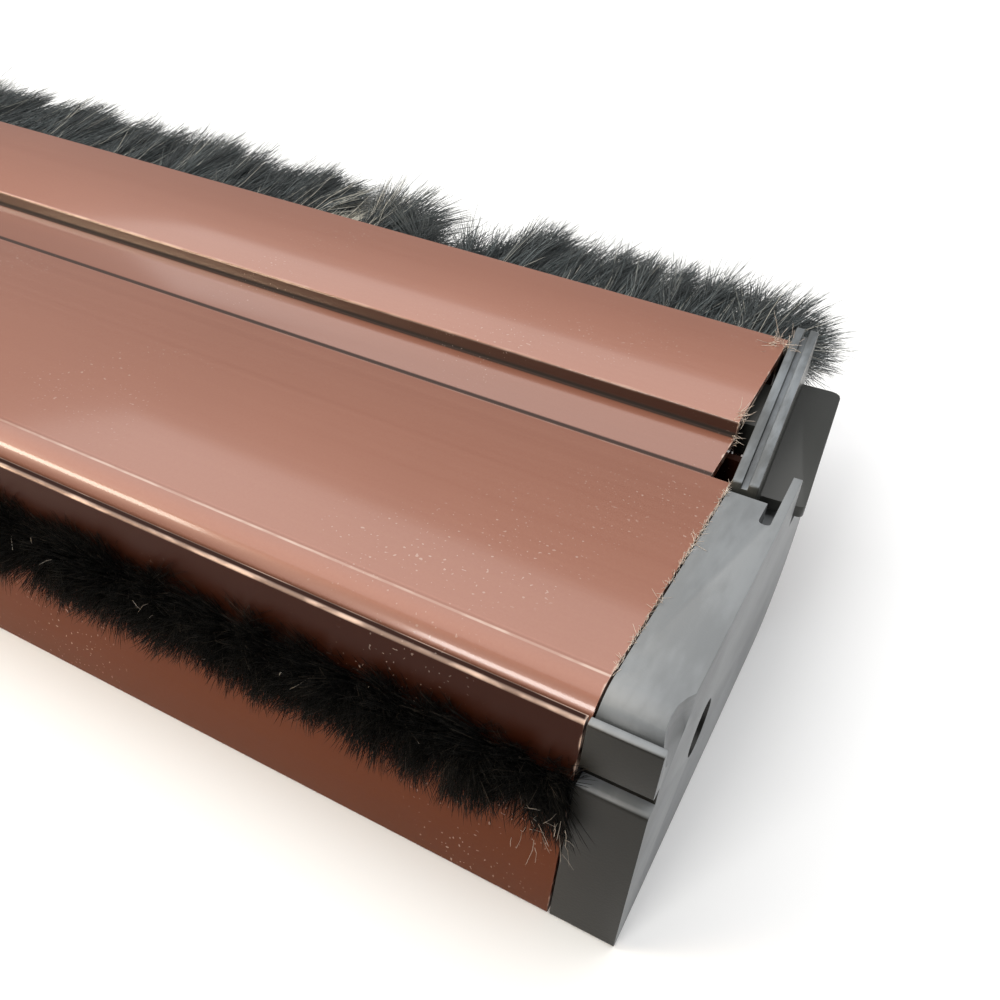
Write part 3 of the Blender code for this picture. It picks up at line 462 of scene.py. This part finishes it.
def brush_part(name, start, end, count, thickness, seed):
    """The filaments rooted between x = start and x = end."""
    rng = np.random.default_rng(seed)
    shape = np.random.default_rng(7)
    x = rng.uniform(start, end, count)
    depth = rng.uniform(-1.0, 1.0, count)
    root = np.stack([x, np.full(count, bar_high.y - BRUSH_ROOT), BRUSH_Z + depth * BRUSH_MOUTH], axis=1)
    reach = BRUSH_REACH + 0.0011 * ripple(x, shape, 6, 0.010, 0.060) + 0.0007 * ripple(x, shape, 7, 0.0022, 0.006)
    notch = hump(x, NOTCH_X, NOTCH_WIDTH)
    sparse = hump(x, SPARSE_X, SPARSE_WIDTH)
    reach = reach * (1.0 - 0.60 * notch) * (1.0 - 0.22 * sparse) + 0.003 * hump(x, TALL_X, TALL_WIDTH)
    reach = reach * np.where(depth + 0.5 * rng.normal(size=count) > 0.1, rng.uniform(0.30, 0.97, count),
                             rng.uniform(0.90, 1.0, count))
    spread = rng.normal(0.0, 1.0, (count, 3))
    tuft = ripple(x, shape, 5, 0.004, 0.012)
    lift = 0.05 + 0.08 * depth + 0.03 * ripple(x, shape, 4, 0.008, 0.030) + 0.03 * spread[:, 2] - 0.06 * notch
    right = np.clip((x - bar_high.x + BRUSH_FAN) / BRUSH_FAN, 0, 1) ** 2
    left = np.clip((bar_low.x + BRUSH_FAN - x) / BRUSH_FAN, 0, 1) ** 2
    reach = reach * (1.0 - 0.20 * (right + left))
    sway = 0.05 * spread[:, 0] + 0.05 * tuft + 0.36 * (right - left)
    heading = np.stack([sway, np.ones(count), lift], axis=1)
    heading = heading / np.linalg.norm(heading, axis=1)[:, None] * reach[:, None]
    curl = rng.normal(0.0, 1.0, (count, 3)) * 0.55 + tufted(x, depth, shape, 0.0014)
    bend = curl * np.array((0.0022, 0.0011, 0.0013)) * (1.0 + 1.6 * notch)[:, None]
    bend[:, 2] += -0.0012 - 0.0022 * sparse - 0.0070 * (right + left)
    bend[:, 0] += 0.0012 * tuft
    tone = rng.random(count) * (1.0 - 0.5 * notch)
    bleached = (rng.random(count) < 0.75 * sparse) & (depth > -0.2)
    tone = np.where(bleached, 1.0, tone)
    piece = filaments(name, root, heading, bend, rng.uniform(0.7, 1.15, count) * thickness, tone)
    piece.data.materials.append(bristle_black)
    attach(piece, "bar")
    return piece


BRUSH_INSET = 0.0004
FINE_FROM_X = 0.075
brush_ends = [*np.linspace(bar_low.x + BRUSH_INSET, FINE_FROM_X, 3)[:-1],
              *np.linspace(FINE_FROM_X, bar_high.x - BRUSH_INSET, 5)]
for index, (start, end) in enumerate(zip(brush_ends[:-1], brush_ends[1:])):
    count, thickness = (10000, 0.00014) if index < 2 else (12000, 0.000062)
    part = brush_part(f"brush_filaments_{index + 1}", start, end, count, thickness, 100 + index)
    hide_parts("long_brush")


# Front pile.
# A weather strip of fine black polypropylene pile in the front wall's channel. It bulges over the channel's
# mouth and droops, with curled hairs straying out of it.
pile_black = filament_finish("black_pile", (0.0015, 0.0015, 0.0013), (0.005, 0.005, 0.0045), (0.06, 0.05, 0.04),
                             (0.003, 0.003, 0.0025), rough=0.75, shine=0.12)
mouth_low, mouth_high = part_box("pile_backing")
PILE_Z = (mouth_low.z + mouth_high.z) / 2
PILE_MOUTH = 0.0020
PILE_ROOT = 0.0011
PILE_REACH = 0.0060
PILE_END = 0.004
FLUFF_X, FLUFF_WIDTH = 0.206, 0.020


def pile_part(name, start, end, count, thickness, seed):
    """The pile rooted between x = start and x = end, fanning up and down out of its channel."""
    rng = np.random.default_rng(seed)
    shape = np.random.default_rng(19)
    x = rng.uniform(start, end, count)
    depth = rng.uniform(-1.0, 1.0, count)
    root = np.stack([x, np.full(count, tray_low.y + PILE_ROOT), PILE_Z + depth * PILE_MOUTH], axis=1)
    uneven = 0.5 * ripple(x, shape, 6, 0.006, 0.040)
    reach = (PILE_REACH + 0.0004 * uneven) * rng.uniform(0.45, 1.0, count) ** 0.5
    spread = rng.normal(0.0, 1.0, (count, 3))
    fluffed = hump(x, FLUFF_X, FLUFF_WIDTH)
    pitch = 0.20 + 0.98 * depth + 0.14 * spread[:, 2] + 0.06 * uneven + 0.45 * fluffed
    ends = np.clip((np.abs(x) - tray_high.x + PILE_END) / PILE_END, 0, 1)
    reach = reach * (1.0 - 0.35 * ends) + 0.0008 * fluffed
    sway = (0.30 * spread[:, 0] + 0.12 * ripple(x, shape, 5, 0.003, 0.012)) * (1.0 - 0.7 * ends)
    heading = np.stack([sway, -np.cos(pitch), np.sin(pitch)], axis=1)
    heading = heading / np.linalg.norm(heading, axis=1)[:, None] * reach[:, None]
    heading[:, 1] = np.minimum(heading[:, 1], -0.0018)
    curl = rng.normal(0.0, 1.0, (count, 3)) * 0.5 + tufted(x, depth, shape, 0.0009)
    bend = curl * np.array((0.0017, 0.0003, 0.0008))
    bend[:, 2] -= 0.0004
    piece = filaments(name, root, heading, bend, rng.uniform(0.7, 1.1, count) * thickness, rng.random(count))
    piece.data.materials.append(pile_black)
    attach(piece, "housing")
    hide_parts("front_pile")


pile_ends = [tray_low.x + 0.0003, -0.05, 0.19, 0.243, tray_high.x - 0.0003]
for index, (start, end) in enumerate(zip(pile_ends[:-1], pile_ends[1:])):
    thickness = 0.00013 if index < 2 else 0.000045
    pile_part(f"pile_tufts_{index + 1}", start, end, 10500, thickness, 200 + index)


# Stray hairs and swarf.
# Pale lint and loose hairs caught in the pile and beside the cap, thin curls of metal and torn fibre that the saw
# left on the bar's right-hand end, and a fine burr along the joint between the cover and the cap.
def loose_curls(name, material, body, spots, seed, thickness=0.00005, scatter=(1.0, 0.8, 0.35)):
    """Curled hairs round spots of (centre, spread, count, length, lift), turned mostly along scatter and lift."""
    rng = np.random.default_rng(seed)
    roots, headings, bends = [], [], []
    for centre, spread, count, length, lift in spots:
        roots.append(np.array(centre) + rng.uniform(-1.0, 1.0, (count, 3)) * np.array(spread))
        heading = rng.normal(0.0, 1.0, (count, 3)) * np.array(scatter) + np.array(lift)
        heading /= np.linalg.norm(heading, axis=1)[:, None]
        headings.append(heading * length * rng.uniform(0.4, 1.0, (count, 1)))
        bends.append(rng.normal(0.0, 0.35, (count, 3)) * length)
    roots, headings, bends = np.concatenate(roots), np.concatenate(headings), np.concatenate(bends)
    curls = filaments(name, roots, headings, bends, np.full(len(roots), thickness), rng.random(len(roots)))
    curls.data.materials.append(material)
    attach(curls, body)


lint_pale = filament_finish("pale_lint", (0.20, 0.17, 0.14), (0.36, 0.31, 0.26), (0.62, 0.58, 0.52),
                            (0.50, 0.45, 0.38))
front = tray_low.y
loose_curls("stray_lint", lint_pale, "housing", [
    ((0.05, front - 0.004, PILE_Z + 0.003), (0.24, 0.0015, 0.0040), 60, 0.0016, (0.0, -0.8, 0.5)),
    ((0.13, front - 0.003, PILE_Z + 0.005), (0.10, 0.0010, 0.0010), 18, 0.0018, (0.0, -0.6, 0.9)),
    ((tray_high.x - 0.001, front - 0.0040, PILE_Z - 0.002), (0.0030, 0.0012, 0.0026), 22, 0.0022,
     (0.8, -0.8, -0.3)),
], 31, 0.00003)

swarf = Finish("sawn_swarf", Metallic=0.2, Roughness=0.4)
swarf.set(Base_Color=swarf.blend(swarf.noise(900.0, 1.0), (0.34, 0.24, 0.18), (0.86, 0.80, 0.72)))
loose_curls("bar_end_swarf", swarf.material, "bar", [
    ((bar_high.x - 0.0006, bar_high.y - 0.0022, bar_high.z), (0.0022, 0.0018, 0.0002), 46, 0.0030,
     (0.7, 0.2, 0.25)),
    ((bar_high.x - 0.0002, STEP_Y + 0.0016, STEP_Z + 0.0001), (0.0008, 0.0016, 0.0003), 26, 0.0020,
     (0.8, 0.3, 0.5)),
    ((bar_high.x + 0.0001, STEP_Y - 0.0010, STEP_Z - 0.0026), (0.0004, 0.0020, 0.0010), 18, 0.0016,
     (0.8, 0.0, 0.2)),
], 37)

PANEL_FALL = 0.00185
JOINT_START = 0.006
JOINT_INSET = 0.0065
joint = [(share, cover_low.y + JOINT_START + share * (cover_high.y - cover_low.y - JOINT_INSET))
         for share in np.linspace(0, 1, 24)]
loose_curls("cap_joint_burr", swarf.material, "housing", [
    ((cover_high.x + 0.0001, joint_y, cover_high.z - share * PANEL_FALL + 0.00004),
     (0.00012, 0.0010, 0.00003), 16 if share > 0.55 else 8, 0.0011, (0.0, 0.0, 0.05))
    for share, joint_y in joint
], 41, 0.00004, (0.10, 1.0, 0.05))


# End caps.
# Black glass-filled nylon mouldings that plug into the housing's two ends, one screw each. Their up-facing top and
# their end faces are painted a pale bluish sheen, broken into scuff-like patches, the front faces keep the dark
# base colour, and the outer face has a fine moulded grain.
def moulded_plastic(name, base, highlight_and_wear, rough, sheen_from_z, ends, patchy):
    """Fine-grained moulded plastic, painted a pale sheen where it faces up above sheen_from_z, and on end faces by
    ends.
    """
    plastic = Finish(name, Specular_IOR_Level=0.35)
    facing = plastic.node("ShaderNodeNewGeometry", {}, {}, "Normal")
    up = plastic.node("ShaderNodeSeparateXYZ", {}, {0: facing}, "Z")
    along = plastic.node("ShaderNodeMath", {"operation": "ABSOLUTE"},
                         {0: plastic.node("ShaderNodeSeparateXYZ", {}, {0: facing}, "X")})
    cloud = plastic.noise(70.0, 3.0, stretch=(1.0, 0.6, 1.0))
    scratches = plastic.noise(900.0, 2.0, stretch=(1.0, 0.25, 1.0))
    high = plastic.rise(plastic.axis("Z"), sheen_from_z - 0.0006, sheen_from_z + 0.0006)
    # Faces looking up above the given height, and the end faces, are painted a pale sheen, broken into patches.
    share = plastic.rise(up, 0.45, 0.95) * high + plastic.rise(along, 0.6, 1.0) * ends
    patches = 1.0 - patchy * plastic.rise(cloud * 0.75 + scratches * 0.25, 0.40, 0.62)
    share = share * patches
    plastic.set(Base_Color=plastic.blend(share, base, highlight_and_wear), Roughness=rough + cloud * 0.12)
    plastic.bump(plastic.noise(3200.0, 2.0) * 0.6 + cloud * 0.4, 0.00006, 0.4)
    return plastic.material


CAP_SHEEN_Z = 0.0225
cap_black = moulded_plastic("black_cap_plastic", (0.004, 0.0034, 0.0016), (0.240, 0.252, 0.262), 0.34,
                            CAP_SHEEN_Z, 0.78, 0.22)
for side in ("right", "left"):
    cap = eased_copy(f"end_cap_{side}", f"cap_{side}", 32, 0.0002)
    cap.data.materials.append(cap_black)


# End runners.
# Dark grey acetal runners pushed into the bar's ends. Rubbing in the side track has polished their double
# ridge, whose up-facing tops are painted a pale silvery sheen.
# Above this height the runners' up-facing ridge tops are painted a pale silvery sheen.
RIDGE_Z = 0.0315
runner_grey = moulded_plastic("grey_runner_plastic", (0.040, 0.041, 0.037), (0.22, 0.24, 0.26), 0.28,
                              RIDGE_Z, 0.0, 0.7)
for side in ("right", "left"):
    runner = eased_copy(f"end_runner_{side}", f"runner_{side}", 32, 0.00015)
    runner.data.materials.append(runner_grey)


# Inner drive.
# Zinc-plated steel rod, pins, collar, nut and screws, two zinc cam castings, plastic guides and plunger, and the
# strips that grip the brush and the pile. Most of it is hidden inside the housing.
def plated(name, colour, rough, metallic):
    """Metal or plain moulding with a faint cloudy tarnish and a fine grain."""
    metal = Finish(name, Metallic=metallic)
    cloud = metal.noise(140.0, 3.0)
    dull = tuple(c * 0.72 for c in colour)
    metal.set(Base_Color=metal.blend(cloud, dull, colour), Roughness=rough + cloud * 0.12)
    metal.bump(metal.noise(2400.0, 2.0), 0.00003, 0.3)
    return metal.material


bright_steel = plated("zinc_plated_steel", (0.62, 0.62, 0.60), 0.28, 1.0)
cast_zinc = plated("cast_zinc", (0.45, 0.46, 0.47), 0.42, 0.9)
guide_black = plated("black_guide_plastic", (0.030, 0.030, 0.031), 0.50, 0.0)
woven_black = plated("woven_backing", (0.020, 0.020, 0.021), 0.80, 0.0)
button_black = plated("black_button_plastic", (0.028, 0.029, 0.030), 0.34, 0.0)

DRIVE = {
    bright_steel: ("actuator_rod", "roll_pin_1", "roll_pin_2", "follower_pin_1", "follower_pin_2", "spring_collar",
                   "lock_nut", "cap_screw_right", "cap_screw_left"),
    cast_zinc: ("cam_block_1", "cam_block_2"),
    guide_black: ("rod_guide_1", "rod_guide_2", "rod_guide_3", "brush_backing"),
    woven_black: ("pile_backing",),
    button_black: ("plunger_button",),
}
for material, names in DRIVE.items():
    for name in names:
        for holder in nodes[name].material_slots:
            holder.material = material


# Return spring.
# Round zinc-plated wire, wound on the rod between its collar and the last guide. Its far end rests on that guide.
# It is fixed to the housing at its full length; the share of its length left at full travel is worked out but not
# used.
spring = eased_copy("return_spring", "coil_spring", 60)
spring_low, spring_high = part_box("return_spring")
spring.data.materials.append(bright_steel)
travel = next(joint["range_m"][1] for joint in frame["joints"] if joint["name"] == "plunger_slide")
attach(spring, "housing")
1.0 - travel / (spring_high.x - spring_low.x)
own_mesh(spring)
